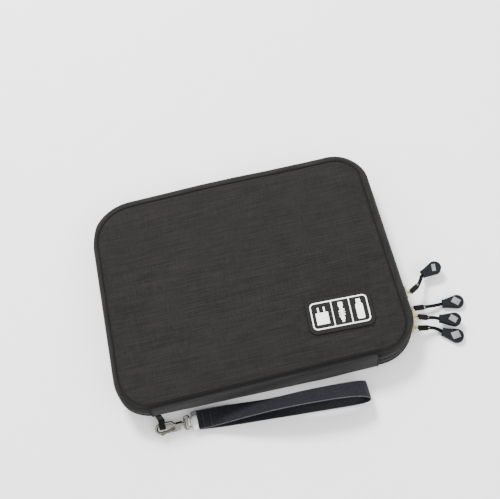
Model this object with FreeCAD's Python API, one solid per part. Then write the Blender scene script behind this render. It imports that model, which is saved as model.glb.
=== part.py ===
import FreeCAD, Part
import math
import os

# Flat two-compartment cable organizer: three fabric shells that fold at the front edge, closed by
# two zips, with four zipper pulls, a rubber badge, and a wrist strap on a snap hook.
# Millimetres. The floor is z = 0, +X runs along the spine, +Y points away from the spine.

V = FreeCAD.Vector

# Bag
LENGTH = 238.0
DEPTH = 185.0
HEIGHT = 30.0
# Corner radii: front right, back right, back left, front left
CORNERS = (32.0, 30.0, 38.0, 32.0)
WALL = 2.0
EDGE_ROUND = 7.5

# Seam between the flat panels and the side walls
SEAM_LEFT = 6.4
SEAM_RIGHT = 6.4
SEAM_FRONT = 3.9
SEAM_BACK = 7.8
SEAM_CORNERS = (22, 23, 32, 27)

# Layers of a padded panel
FABRIC = 1.2
FOAM = 1.8
LINING = 0.6
PANEL = FABRIC + FOAM + LINING
PIPING_RISE = 0.4

# Zips
ZIP_LOW = HEIGHT / 3
ZIP_HIGH = 2 * HEIGHT / 3
CHAIN_GAP = 1.0
ZIP_HALF = 1.2
ZIP_INSET = 0.4

# Spine
SPINE_X0 = -92.0
SPINE_X1 = 84.0
SPINE_ROUND = 3.3
SPINE_GAP = 0.3

# Divider, its linings, the elastic loops on it and the two pockets
BOARD = 2.0
LINING_INSET = 4.2
LOOPS = 6
LOOP_PITCH = 28.0
LOOP_WIDTH = 24.0
LOOP_HEIGHT = 7.2
LOOP_THICK = 1.0
LOOPS_Y = 26.0
BINDING = 4.0
LID_POCKET = (-84.0, 84.0, -64.0, 20.0)
SLIP_POCKET = (-80.0, 80.0, -60.0, 30.0)

# Rubber badge on the lid
BADGE_X = 65.0
BADGE_Y = -52.3
BADGE_YAW = -3.0
BADGE_LENGTH = 51.0
BADGE_DEPTH = 29.0
BADGE_RISE = 1.4
FRAME_LENGTH = 44.5
FRAME_DEPTH = 22.2
FRAME_LINE = 0.9
FRAME_CORNER = 3.5
ICON_RISE = 0.5
DIVIDERS = (0.375, 0.685)

# Derived
X_SIDE = LENGTH / 2
Y_BACK = DEPTH / 2
Y_FRONT = -DEPTH / 2
Z_TOP = HEIGHT - PIPING_RISE
LOW_EDGE = ZIP_LOW - CHAIN_GAP / 2
HIGH_EDGE = ZIP_HIGH + CHAIN_GAP / 2
Y_SEAM_FRONT = Y_FRONT + SEAM_FRONT
Y_SEAM_BACK = Y_BACK - SEAM_BACK
ARC_X = X_SIDE - CORNERS[0]
ARC_Y = Y_FRONT + CORNERS[0]

# Zipper pulls
WIRE = 1.1
BAIL_HALF = 1.25
BAIL_LENGTH = 12.0
BAIL_STRAIGHT = 2.6
BAR_CLEARANCE = 0.05
SLIDER_LENGTH = 9.0
SLIDER_HEIGHT = 7.2
SLIDER_PLATE = 1.1
BAR_X = 1.25 + SLIDER_PLATE + 1.2
CORD = 1.45
STRAND_GAP = 1.5
MOUTH_GAP = 1.6
GRIP_LENGTH = 17.0
GRIP_WIDE = 10.8
GRIP_NARROW = 6.2
GRIP_THICK = 4.2

# Wrist strap and snap hook
HOOK_Z = 4.6
HOOK_Y = -100.2
HOOK_WIRE = 2.4
HOOK_HALF = 3.3
COLLAR_X = -77.4
GATE_X = -79.8
GATE_Y = HOOK_Y - HOOK_HALF + 1.0
LIP_X = -85.2
STEM = 2.0
STEM_HEAD = 3.2
LEVER = 10.5
LEVER_YAW = 18.0
TAB_X = -88.2
TAB_WIDTH = 4.4
TAB_THICK = 1.0
STRAP_WIDTH = 14.4
STRAP_THICK = 1.1
STRAP_YAW = -4.5

# Stations of the strap loop: x, then the height of its near and far edges, from the clamp over the
# top, round the end and back along the floor
STRAP_LINE = [
    (-60.2, 5.3, 5.3), (-54.0, 5.6, 5.5), (-45.6, 8.0, 6.8), (-33.2, 13.2, 9.0), (-17.8, 18.9, 11.5),
    (0.7, 24.4, 15.5), (18.2, 27.0, 19.0), (36.7, 27.8, 20.4), (52.2, 27.0, 20.2), (62.5, 24.2, 18.4),
    (69.1, 18.2, 14.6), (71.7, 11.4, 9.6), (70.5, 5.2, 4.6), (65.0, 1.7, 1.6), (57.3, 0.8, 0.8),
    (26.4, 0.8, 0.8), (-4.4, 0.8, 0.8), (-35.3, 0.8, 0.8), (-47.6, 1.6, 1.6), (-55.9, 3.4, 3.4),
    (-60.2, 3.95, 3.95),
]

# Swivel ring: a stem in the collar and a wire ring for the strap clamp
RING_X0 = -70.8
RING_X1 = -67.2
RING_HALF = 5.0
RING_WIRE = 1.6


def face(wire):
    """Planar face of a closed wire."""
    return Part.Face(wire)


def block(x0, x1, y0, y1, z0, z1):
    """Box between two corners."""
    return Part.makeBox(x1 - x0, y1 - y0, z1 - z0, V(x0, y0, z0))


def rounded_wire(x0, x1, y0, y1, radii, z):
    """Rectangle with rounded corners; radii are front right, back right, back left and front left."""
    a, b, c, d = radii
    corners = [(x1 - a, y0 + a, a, -90), (x1 - b, y1 - b, b, 0),
               (x0 + c, y1 - c, c, 90), (x0 + d, y0 + d, d, 180)]
    edges = []
    last = None
    first = None
    for cx, cy, r, start in corners:
        angles = [math.radians(start + 45 * i) for i in range(3)]
        p = [V(cx + r * math.cos(t), cy + r * math.sin(t), z) for t in angles]
        if last is not None:
            edges.append(Part.makeLine(last, p[0]))
        else:
            first = p[0]
        edges.append(Part.Arc(p[0], p[1], p[2]).toShape())
        last = p[2]
    edges.append(Part.makeLine(last, first))
    return Part.Wire(edges)


def outline_prism(inset, z0, z1):
    """Bag outline moved inwards by inset, as a prism."""
    wire = rounded_wire(-X_SIDE + inset, X_SIDE - inset, Y_FRONT + inset, Y_BACK - inset,
                        [r - inset for r in CORNERS], z0)
    return face(wire).extrude(V(0, 0, z1 - z0))


def seam_prism(inset, z0, z1):
    """Seam outline of a flat panel moved inwards by inset, as a prism."""
    wire = rounded_wire(-X_SIDE + SEAM_LEFT + inset, X_SIDE - SEAM_RIGHT - inset,
                        Y_SEAM_FRONT + inset, Y_SEAM_BACK - inset, [r - inset for r in SEAM_CORNERS], z0)
    return face(wire).extrude(V(0, 0, z1 - z0))


def spine_notch():
    """Space kept free for the spine in front of the seam."""
    return block(SPINE_X0 - SPINE_GAP, SPINE_X1 + SPINE_GAP, Y_FRONT - 1, Y_SEAM_FRONT, -1, HEIGHT + 1)


def flat_edges(solid, z):
    """Edges of a solid that lie in the plane z."""
    found = []
    for edge in solid.Edges:
        box = edge.BoundBox
        if abs(box.ZMin - z) < 1e-4 and abs(box.ZMax - z) < 1e-4:
            found.append(edge)
    return found


def cover_gusset(z_flat, z_edge):
    """Side wall of a cover: outer edge rounded at z_flat, open at z_edge."""
    low = min(z_flat, z_edge)
    high = max(z_flat, z_edge)
    sign = 1 if z_edge > z_flat else -1
    outer = outline_prism(0, low, high)
    outer = outer.makeFillet(EDGE_ROUND, flat_edges(outer, z_flat))
    inner_low = min(z_flat + sign * WALL, z_edge + sign * 1)
    inner_high = max(z_flat + sign * WALL, z_edge + sign * 1)
    inner = outline_prism(WALL, inner_low, inner_high)
    inner = inner.makeFillet(EDGE_ROUND - WALL, flat_edges(inner, z_flat + sign * WALL))
    return outer.cut(inner).cut(seam_prism(0, -1, HEIGHT + 1)).cut(spine_notch())


def wall_ring(inset, thick, z0, z1):
    """Straight ring along the outline, open at the spine."""
    return outline_prism(inset, z0, z1).cut(outline_prism(inset + thick, z0 - 1, z1 + 1)).cut(spine_notch())


def zip_half(z0):
    """Zip tape and its row of teeth on one edge."""
    return wall_ring(ZIP_INSET, ZIP_HALF, z0, z0 + ZIP_HALF)


def spine_panel():
    """Front band, its long edges curled in towards the seams."""
    y0 = Y_FRONT
    y1 = Y_SEAM_FRONT - 0.6
    z0 = SPINE_GAP
    z1 = Z_TOP - SPINE_GAP
    r = SPINE_ROUND
    w = WALL
    q = math.sqrt(0.5)

    def p(y, z):
        return V(SPINE_X0, y, z)

    def curve(cy, cz, rad, side):
        return p(cy - rad * q, cz + side * rad * q)

    edges = [
        Part.Arc(p(y1, z0), curve(y1, z0 + r, r, -1), p(y0, z0 + r)).toShape(),
        Part.makeLine(p(y0, z0 + r), p(y0, z1 - r)),
        Part.Arc(p(y0, z1 - r), curve(y1, z1 - r, r, 1), p(y1, z1)).toShape(),
        Part.makeLine(p(y1, z1), p(y1, z1 - w)),
        Part.Arc(p(y1, z1 - w), curve(y1, z1 - r, r - w, 1), p(y0 + w, z1 - r)).toShape(),
        Part.makeLine(p(y0 + w, z1 - r), p(y0 + w, z0 + r)),
        Part.Arc(p(y0 + w, z0 + r), curve(y1, z0 + r, r - w, -1), p(y1, z0 + w)).toShape(),
        Part.makeLine(p(y1, z0 + w), p(y1, z0)),
    ]
    return face(Part.Wire(edges)).extrude(V(SPINE_X1 - SPINE_X0, 0, 0))


def piping():
    """Rolled seam around the top panel."""
    ring = seam_prism(-0.5, Z_TOP, HEIGHT).cut(seam_prism(0.7, Z_TOP - 1, HEIGHT + 1))
    return ring.cut(block(-X_SIDE, X_SIDE, Y_FRONT - 1, Y_SEAM_FRONT - 0.1, 0, HEIGHT + 1))


def pocket_binding(plan, z0, z1):
    """Binding round three sides of a pocket panel."""
    x0, x1, y0, y1 = plan
    frame = block(x0 - BINDING, x1 + BINDING, y0 - BINDING, y1, z0, z1)
    return frame.cut(block(x0, x1, y0, y1 + 1, z0 - 1, z1 + 1))


def elastic_loops(z):
    """Row of elastic loops sewn on a base band at height z."""
    x0 = -LOOP_PITCH * LOOPS / 2
    top = z + LOOP_THICK
    half = LOOP_PITCH / 2 - 1.0
    band = block(x0 - 6, -x0 + 6, 0, LOOP_WIDTH, z, top)
    for i in range(LOOPS):
        cx = x0 + LOOP_PITCH * (i + 0.5)
        outer = arch(cx, half, LOOP_HEIGHT, top, LOOP_WIDTH)
        inner = arch(cx, half - LOOP_THICK, LOOP_HEIGHT - LOOP_THICK, top, LOOP_WIDTH)
        band = band.fuse(outer.cut(inner))
    return band.removeSplitter()


def arch(cx, half, height, z, width):
    """Solid arch with rounded shoulders, extruded along +Y from y = 0."""
    r = min(half, height) * 0.8
    q = math.sqrt(0.5)
    a = V(cx - half, 0, z)
    b = V(cx - half, 0, z + height - r)
    c = V(cx - half + r, 0, z + height)
    d = V(cx + half - r, 0, z + height)
    e = V(cx + half, 0, z + height - r)
    f = V(cx + half, 0, z)
    mid1 = V(cx - half + r - r * q, 0, z + height - r + r * q)
    mid2 = V(cx + half - r + r * q, 0, z + height - r + r * q)
    edges = [Part.makeLine(a, b), Part.Arc(b, mid1, c).toShape(), Part.makeLine(c, d),
             Part.Arc(d, mid2, e).toShape(), Part.makeLine(e, f), Part.makeLine(f, a)]
    return face(Part.Wire(edges)).extrude(V(0, width, 0))


def place_badge(shape):
    """Moves a shape drawn about the origin at z = 0 on to the lid."""
    shape.rotate(V(0, 0, 0), V(0, 0, 1), BADGE_YAW)
    shape.translate(V(BADGE_X, BADGE_Y, Z_TOP))
    return shape


def centred_plate(length, depth, corner, z0, z1):
    """Rounded plate centred on the origin."""
    wire = rounded_wire(-length / 2, length / 2, -depth / 2, depth / 2, [corner] * 4, z0)
    return face(wire).extrude(V(0, 0, z1 - z0))


def badge_base():
    """Black rubber patch."""
    plate = centred_plate(BADGE_LENGTH, BADGE_DEPTH, FRAME_CORNER + 2.5, 0, BADGE_RISE)
    plate = plate.makeFillet(0.6, flat_edges(plate, BADGE_RISE))
    return place_badge(plate)


def badge_icons():
    """Raised white frame, two dividers and three plain pictograms."""
    z0 = BADGE_RISE
    z1 = BADGE_RISE + ICON_RISE
    frame = centred_plate(FRAME_LENGTH, FRAME_DEPTH, FRAME_CORNER, z0, z1)
    hole = centred_plate(FRAME_LENGTH - 2 * FRAME_LINE, FRAME_DEPTH - 2 * FRAME_LINE,
                         FRAME_CORNER - FRAME_LINE, z0 - 1, z1 + 1)
    icons = frame.cut(hole)
    half = FRAME_DEPTH / 2 - 0.5
    cells = [-FRAME_LENGTH / 2]
    for share in DIVIDERS:
        x = -FRAME_LENGTH / 2 + share * FRAME_LENGTH
        cells.append(x)
        icons = icons.fuse(block(x - 0.4, x + 0.4, -half, half, z0, z1))
    cells.append(FRAME_LENGTH / 2)
    centres = [(cells[i] + cells[i + 1]) / 2 for i in range(3)]
    pieces = charger_icon(centres[0], z0, z1)
    pieces += cable_icon(centres[1], z0, z1)
    pieces += stick_icon(centres[2], z0, z1)
    for piece in pieces:
        icons = icons.fuse(piece)
    return place_badge(icons.removeSplitter())


def charger_icon(x, z0, z1):
    """Plug block with two prongs."""
    body = block(x - 4.8, x + 4.8, -7.2, 2.4, z0, z1)
    prongs = [block(x + s - 0.6, x + s + 0.6, 2.4, 6.8, z0, z1) for s in (-2.3, 2.3)]
    return [body] + prongs


def cable_icon(x, z0, z1):
    """Coiled cable with a plug at each end."""
    plugs = [block(x - 1.8, x + 1.8, 4.6, 8.2, z0, z1), block(x - 1.3, x + 1.3, 2.2, 4.6, z0, z1),
             block(x - 1.6, x + 1.6, -6.2, -3.8, z0, z1), block(x - 0.9, x + 0.9, -8.2, -6.2, z0, z1)]
    core = block(x - 0.7, x + 0.7, -3.8, 2.2, z0, z1)
    turns = []
    for y in (1.2, -0.8, -2.8):
        turn = block(-2.4, 2.4, -0.6, 0.6, z0, z1)
        turn.rotate(V(0, 0, 0), V(0, 0, 1), 18)
        turn.translate(V(x, y, 0))
        turns.append(turn)
    return [core] + plugs + turns


def stick_icon(x, z0, z1):
    """Memory stick with a narrow connector."""
    body = block(x - 2.8, x + 2.8, -8.2, 4.4, z0, z1)
    body = body.makeFillet(1.3, [e for e in body.Edges if e.BoundBox.ZLength > 0.9 * (z1 - z0)])
    plug = block(x - 1.7, x + 1.7, 4.4, 8.2, z0, z1)
    return [body, plug]


# Zipper pulls: y of the slider on the chain, height of the chain, height of the grip, sideways bow of
# the cord, plan positions of the grip mouth and grip end, droop and lean of the bail, and the length,
# width and turn of the label.
PULLS = {
    "upper_left": {"y": -45.0, "z": ZIP_HIGH, "grip_z": 8.0, "bow": -0.2, "label": (6.0, 3.0, 66.0),
                   "mouth": (138.6, -29.0), "tip": (154.2, -24.6), "tilt": -32.0, "skew": 32.0},
    "lower_left": {"y": -55.4, "z": ZIP_LOW, "grip_z": 2.45, "bow": -0.5, "label": (6.2, 5.0, -40.0),
                   "mouth": (147.4, -55.0), "tip": (163.9, -56.6), "tilt": -20.0, "skew": 0.5},
    "upper_right": {"y": -65.3, "z": ZIP_HIGH, "grip_z": 7.5, "bow": 0.6, "label": (6.0, 4.6, -30.0),
                    "mouth": (140.1, -68.1), "tip": (155.4, -73.0), "tilt": -32.0, "skew": 0.5},
    "lower_right": {"y": -70.2, "z": ZIP_LOW, "grip_z": 2.45, "bow": 1.0, "label": (6.2, 5.6, 38.0),
                    "mouth": (140.1, -77.3), "tip": (154.1, -86.0), "tilt": -20.0, "skew": 13.0},
}


def slider_frame(pull):
    """Centre of the chain at the slider, outward direction and tangent direction in plan."""
    if pull["y"] > ARC_Y:
        return V(X_SIDE - 1, pull["y"], pull["z"]), V(1, 0, 0), V(0, 1, 0)
    angle = math.asin((ARC_Y - pull["y"]) / (CORNERS[0] - 1))
    out = V(math.cos(angle), -math.sin(angle), 0)
    along = V(math.sin(angle), math.cos(angle), 0)
    return V(ARC_X, ARC_Y, pull["z"]) + out * (CORNERS[0] - 1), out, along


def local_to_world(shape, origin, out, along):
    """Places a shape drawn with +X outwards and +Y along the chain."""
    return placed(shape, FreeCAD.Matrix(out.x, along.x, 0, origin.x, out.y, along.y, 0, origin.y,
                                        out.z, along.z, 1, origin.z, 0, 0, 0, 1))


def placed(shape, matrix):
    """Copy of a shape moved by a rigid matrix."""
    copy = shape.copy()
    copy.Placement = FreeCAD.Placement(matrix)
    return copy


def slider_body():
    """Slider: outer plate, inner plate, post through the chain and a bored bridge, at the chain centre."""
    half = SLIDER_LENGTH / 2
    tall = SLIDER_HEIGHT / 2
    outer = block(1.25, 1.25 + SLIDER_PLATE, -half, half, -tall, tall)
    outer = outer.makeFillet(1.6, [e for e in outer.Edges if abs(e.BoundBox.XLength - SLIDER_PLATE) < 1e-6])
    inner = block(-1.5 - SLIDER_PLATE, -1.5, 1 - half, half - 1, -tall, tall)
    post = block(-1.6, 1.4, -1.0, 1.0, -0.3, 0.3)
    bridge = block(2.0, BAR_X + 1.3, -0.5, 0.5, -1.3, 1.3)
    bore = Part.makeCylinder(WIRE / 2 + BAR_CLEARANCE, 4, V(BAR_X, -2, 0), V(0, 1, 0))
    return outer.fuse(inner).fuse(post).fuse(bridge).cut(bore).removeSplitter()


def tube(points, radius, cut_share=0.45):
    """Round tube through points, with tangent arcs at the bends. Returns the solid and the bend radii."""
    edges = []
    radii = []
    cursor = points[0]
    for i in range(1, len(points) - 1):
        back = points[i - 1] - points[i]
        ahead = points[i + 1] - points[i]
        turn = math.pi - back.getAngle(ahead)
        reach = cut_share * min(back.Length, ahead.Length)
        bend = reach / math.tan(turn / 2)
        radii.append(bend)
        a = points[i] + back.normalize() * reach
        b = points[i] + ahead.normalize() * reach
        bisector = (back + ahead).normalize()
        mid = points[i] + bisector * (bend / math.cos(turn / 2) - bend)
        edges.append(Part.makeLine(cursor, a))
        edges.append(Part.Arc(a, mid, b).toShape())
        cursor = b
    edges.append(Part.makeLine(cursor, points[-1]))
    path = Part.Wire(edges)
    start = (points[1] - points[0]).normalize()
    circle = Part.Wire(Part.makeCircle(radius, points[0], start))
    return path.makePipeShell([circle], True, True), radii, path.Length


def closed_wire_ring(points, bends, radius):
    """Closed ring of round wire through points, each corner bent to its own radius."""
    count = len(points)
    edges = []
    ends = []
    for i in range(count):
        back = points[i - 1] - points[i]
        ahead = points[(i + 1) % count] - points[i]
        turn = math.pi - back.getAngle(ahead)
        reach = bends[i] * math.tan(turn / 2)
        a = points[i] + back.normalize() * reach
        b = points[i] + ahead.normalize() * reach
        bisector = (back + ahead).normalize()
        mid = points[i] + bisector * (bends[i] / math.cos(turn / 2) - bends[i])
        ends.append((a, mid, b))
    for i in range(count):
        a, mid, b = ends[i]
        edges.append(Part.Arc(a, mid, b).toShape())
        edges.append(Part.makeLine(b, ends[(i + 1) % count][0]))
    path = Part.Wire(edges)
    start = ends[0][0]
    tangent = (points[0] - points[-1]).normalize()
    circle = Part.Wire(Part.makeCircle(radius, start, tangent))
    return path.makePipeShell([circle], True, True)


def bail_lean(x, skew):
    """Sideways lean of the bail at distance x from its hinge bar."""
    return max(0.0, x - BAIL_STRAIGHT) * math.tan(math.radians(skew))


def bail_points(skew):
    """Corners of the bail in its own plane, the first two on the hinge bar."""
    h = BAIL_HALF
    lean = bail_lean(BAIL_LENGTH, skew)
    return [(0, -h), (0, h), (BAIL_STRAIGHT, h), (BAIL_LENGTH, h + lean), (BAIL_LENGTH, -h + lean),
            (BAIL_STRAIGHT, -h)]


def tilt(x, y, angle):
    """Point x out, y along, turned down or up by angle about the hinge bar."""
    t = math.radians(angle)
    return V(BAR_X + x * math.cos(t), y, x * math.sin(t))


def pull_parts(name, pull):
    """Slider, bail, hitch, cord, grip and label of one zipper pull, in world position."""
    origin, out, along = slider_frame(pull)
    slider = local_to_world(slider_body(), origin, out, along)

    def world(v):
        return origin + out * v.x + along * v.y + V(0, 0, v.z)

    corners = [world(tilt(x, y, pull["tilt"])) for x, y in bail_points(pull["skew"])]
    bail = closed_wire_ring(corners, [0.7, 0.7, 2.0, 1.2, 1.2, 2.0], WIRE / 2)

    def on_bail(x):
        return world(tilt(x, bail_lean(x, pull["skew"]), pull["tilt"]))

    hitch_a = on_bail(BAIL_STRAIGHT)
    hitch_b = on_bail(BAIL_LENGTH - 1.6)
    hitch = rounded_bar(hitch_a, hitch_b, along, 2 * BAIL_HALF + WIRE + 0.7, 2.6)

    start = on_bail(BAIL_LENGTH + WIRE / 2 + 0.25)
    mouth = V(pull["mouth"][0], pull["mouth"][1], pull["grip_z"])
    tip = V(pull["tip"][0], pull["tip"][1], pull["grip_z"])
    away = V(0, 0, 1).cross((mouth - start).normalize()).normalize()
    strands = []
    radii = []
    length = 0
    bend = (start + mouth) * 0.5 + away * pull["bow"] + V(0, 0, 0.5)
    for side in (-1, 1):
        shift = away * (side * STRAND_GAP / 2)
        end = mouth + (bend - mouth).normalize() * MOUTH_GAP
        solid, bends, run = tube([start + shift, bend + shift, end + shift], CORD / 2)
        strands.append(solid)
        radii += bends
        length += run
    cord = strands[0].fuse(strands[1])
    print(name, "strand bend radii", [round(r, 1) for r in radii], "section x length",
          round(math.pi * CORD * CORD / 4 * length, 1), "volume", round(cord.Volume, 1))

    grip, label = grip_parts(mouth, tip, pull["label"])
    hitch = hitch.cut(bail)
    return {"slider": slider, "bail": bail, "hitch": hitch, "cord": cord, "grip": grip, "label": label}


def rounded_bar(a, b, across, width, thick):
    """Bar from a to b with rounded edges along its length."""
    ahead = (b - a).normalize()
    up = ahead.cross(across).normalize()
    side = up.cross(ahead).normalize()
    bar = Part.makeBox((b - a).Length, width, thick, V(0, -width / 2, -thick / 2))
    bar = bar.makeFillet(0.9, [e for e in bar.Edges if e.BoundBox.XLength > (b - a).Length - 1e-6])
    m = FreeCAD.Matrix(ahead.x, side.x, up.x, a.x, ahead.y, side.y, up.y, a.y,
                       ahead.z, side.z, up.z, a.z, 0, 0, 0, 1)
    return placed(bar, m)


def grip_outline(z):
    """Teardrop outline: narrow at the mouth, wide and round at the end, along +X from 0."""
    n = GRIP_NARROW / 2
    w = GRIP_WIDE / 2
    neck = 2.0
    wide_x = GRIP_LENGTH * 0.66
    edges = [
        Part.makeLine(V(0, -n, z), V(neck, -n, z)),
        Part.makeLine(V(neck, -n, z), V(wide_x, -w, z)),
        Part.Arc(V(wide_x, -w, z), V(GRIP_LENGTH, 0, z), V(wide_x, w, z)).toShape(),
        Part.makeLine(V(wide_x, w, z), V(neck, n, z)),
        Part.makeLine(V(neck, n, z), V(0, n, z)),
        Part.makeLine(V(0, n, z), V(0, -n, z)),
    ]
    return Part.Wire(edges)


def label_block(size, z0, z1):
    """Small plate on the grip's axis, near its wide end."""
    length, width, turn = size
    plate = block(-length / 2, length / 2, -width / 2, width / 2, z0, z1)
    plate.rotate(V(0, 0, 0), V(0, 0, 1), turn)
    plate.translate(V(GRIP_LENGTH * 0.63, 0, 0))
    return plate


def grip_parts(mouth, tip, label_size):
    """Moulded rubber grip and the flat label let into its top."""
    half = GRIP_THICK / 2
    body = face(grip_outline(-half)).extrude(V(0, 0, GRIP_THICK))
    body = body.makeFillet(0.7, flat_edges(body, half) + flat_edges(body, -half))
    label = label_block(label_size, half - 0.4, half + 0.15)
    body = body.cut(label_block(label_size, half - 0.4, half + 1))
    yaw = math.degrees(math.atan2(tip.y - mouth.y, tip.x - mouth.x))
    for shape in (body, label):
        shape.rotate(V(0, 0, 0), V(0, 0, 1), yaw)
        shape.translate(mouth)
    return body, label


def strap_tab():
    """Sewn ribbon tab on the spine with a flat loop round the hook."""
    y0 = Y_FRONT - 0.2 - TAB_THICK
    x0 = TAB_X - TAB_WIDTH / 2
    x1 = TAB_X + TAB_WIDTH / 2
    y_far = -100.9
    z_low = HOOK_Z - HOOK_WIRE / 2 - 0.4 - TAB_THICK
    z_high = HOOK_Z + HOOK_WIRE / 2 + 0.4 + TAB_THICK
    ring = block(x0, x1, y_far, y0 + TAB_THICK, z_low, z_high)
    along_x = [e for e in ring.Edges if e.BoundBox.XLength > TAB_WIDTH - 1e-6 and e.BoundBox.YMax < y_far + 0.1]
    ring = ring.makeFillet(2.0, along_x)
    ring = ring.cut(block(x0 - 1, x1 + 1, y_far + TAB_THICK, y0, z_low + TAB_THICK, z_high - TAB_THICK))
    root = block(x0, x1, y0, Y_FRONT, z_low, ZIP_HIGH - 4)
    return ring.fuse(root).removeSplitter()


def hook_frame():
    """Snap hook: collar, back arm, round nose, short lip and the gate's two cheeks with their pin."""
    y_back = HOOK_Y + HOOK_HALF
    y_lip = HOOK_Y - HOOK_HALF
    nose_x = TAB_X - 1.6
    edges = [
        Part.makeLine(V(COLLAR_X + 1.2, HOOK_Y, HOOK_Z), V(COLLAR_X - 0.3, HOOK_Y, HOOK_Z)),
        Part.makeLine(V(COLLAR_X - 0.3, HOOK_Y, HOOK_Z), V(COLLAR_X - 3.8, y_back, HOOK_Z)),
        Part.makeLine(V(COLLAR_X - 3.8, y_back, HOOK_Z), V(nose_x, y_back, HOOK_Z)),
        Part.Arc(V(nose_x, y_back, HOOK_Z), V(nose_x - HOOK_HALF, HOOK_Y, HOOK_Z),
                 V(nose_x, y_lip, HOOK_Z)).toShape(),
        Part.makeLine(V(nose_x, y_lip, HOOK_Z), V(LIP_X, y_lip, HOOK_Z)),
    ]
    circle = Part.Wire(Part.makeCircle(HOOK_WIRE / 2, V(COLLAR_X + 1.2, HOOK_Y, HOOK_Z), V(-1, 0, 0)))
    arm = Part.Wire(edges).makePipeShell([circle], True, True, 2)
    collar = Part.makeCylinder(2.5, 5.0, V(COLLAR_X, HOOK_Y, HOOK_Z), V(1, 0, 0))
    cheeks = block(GATE_X - 1.8, COLLAR_X + 2.7, GATE_Y - 1.8, HOOK_Y + 0.6, HOOK_Z - 1.6, HOOK_Z + 1.6)
    cheeks = cheeks.cut(block(GATE_X - 9, GATE_X + 2.0, GATE_Y - 4, HOOK_Y + 1, HOOK_Z - 0.8, HOOK_Z + 0.8))
    pin = Part.makeCylinder(0.7, 3.0, V(GATE_X, GATE_Y, HOOK_Z - 1.5))
    hook = arm.fuse(collar).fuse(cheeks)
    hook = hook.cut(Part.makeCylinder(STEM / 2 + BAR_CLEARANCE, 4.0, V(COLLAR_X + 2.0, HOOK_Y, HOOK_Z), V(1, 0, 0)))
    hook = hook.cut(Part.makeCylinder(STEM_HEAD / 2 + BAR_CLEARANCE, 1.6, V(COLLAR_X + 1.3, HOOK_Y, HOOK_Z), V(1, 0, 0)))
    return hook.fuse(pin).removeSplitter()


def hook_gate():
    """Sprung gate between the pivot and the lip of the hook, with a thumb lever above it."""
    y_lip = HOOK_Y - HOOK_HALF
    length = GATE_X - (LIP_X + 0.4)
    bar = block(-length, 0, -1.0, 1.0, -0.6, 0.6)
    bar = bar.fuse(Part.makeCylinder(1.6, 1.2, V(0, 0, -0.6)))
    tip = block(-length, -1.6, -1.1, 1.1, -1.1, 1.1)
    tip = tip.cut(block(-2.6, 3, -3, 3, -3, 3))
    gate = bar.fuse(tip).cut(Part.makeCylinder(0.75, 4, V(0, 0, -2)))
    angle = math.degrees(math.atan2(GATE_Y - y_lip, length))
    gate.rotate(V(0, 0, 0), V(0, 0, 1), angle)
    post = Part.makeCylinder(0.8, 2.0, V(-3.0, -0.6, 0.6))
    lever = block(-LEVER, 1.4, -0.9, 0.9, 1.9, 2.9)
    lever = lever.makeFillet(0.8, [e for e in lever.Edges if e.BoundBox.ZLength > 0.9])
    lever.rotate(V(0, 0, 0), V(0, 0, 1), LEVER_YAW)
    gate = gate.fuse(post).fuse(lever)
    gate.translate(V(GATE_X, GATE_Y, HOOK_Z))
    return gate.removeSplitter()


def swivel_ring():
    """Stem with a head inside the collar, and a closed wire ring."""
    corners = [V(RING_X0, HOOK_Y - RING_HALF, HOOK_Z), V(RING_X1, HOOK_Y - RING_HALF, HOOK_Z),
               V(RING_X1, HOOK_Y + RING_HALF, HOOK_Z), V(RING_X0, HOOK_Y + RING_HALF, HOOK_Z)]
    ring = closed_wire_ring(corners, [1.6, 1.2, 1.2, 1.6], RING_WIRE / 2)
    stem = Part.makeCylinder(STEM / 2, 5.0, V(COLLAR_X + 1.7, HOOK_Y, HOOK_Z), V(1, 0, 0))
    head = Part.makeCylinder(STEM_HEAD / 2, 1.2, V(COLLAR_X + 1.5, HOOK_Y, HOOK_Z), V(1, 0, 0))
    return ring.fuse(stem).fuse(head).removeSplitter()


def strap_clamp():
    """Crimped plate over the strap end with a barrel on the far bar of the ring."""
    barrel = Part.makeCylinder(1.6, 6.6, V(RING_X1, HOOK_Y - 3.3, HOOK_Z), V(0, 1, 0))
    neck = block(RING_X1, RING_X1 + 2.6, HOOK_Y - 3.3, HOOK_Y + 3.3, HOOK_Z - 0.8, HOOK_Z + 0.8)
    plate = block(RING_X1 + 2.4, RING_X1 + 7.0, HOOK_Y - 7.3, HOOK_Y + 7.3, HOOK_Z - 1.9, HOOK_Z + 1.9)
    plate = plate.makeFillet(0.6, [e for e in plate.Edges if e.BoundBox.YLength > 14])
    clamp = barrel.fuse(neck).fuse(plate)
    bore = Part.makeCylinder(RING_WIRE / 2 + BAR_CLEARANCE, 10, V(RING_X1, HOOK_Y - 5, HOOK_Z), V(0, 1, 0))
    return clamp.cut(bore).removeSplitter()


def strap_section(index):
    """Rectangular section of the webbing at one station of the loop, square to its run."""
    x, z_near, z_far = STRAP_LINE[index]
    x_back, back_near, back_far = STRAP_LINE[max(0, index - 1)]
    x_next, next_near, next_far = STRAP_LINE[min(len(STRAP_LINE) - 1, index + 1)]
    drift = math.tan(math.radians(STRAP_YAW))
    y_near = HOOK_Y - STRAP_WIDTH / 2 + (x - STRAP_LINE[0][0]) * drift
    run = V(x_next - x_back, (x_next - x_back) * drift, (next_near + next_far - back_near - back_far) / 2)
    across = V(0, math.sqrt(STRAP_WIDTH ** 2 - (z_near - z_far) ** 2), z_far - z_near)
    thick = run.normalize().cross(across).normalize() * (STRAP_THICK / 2)
    near = V(x, y_near, z_near)
    corners = [near + thick, near + across + thick, near + across - thick, near - thick]
    return Part.makePolygon(corners + [corners[0]])


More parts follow.
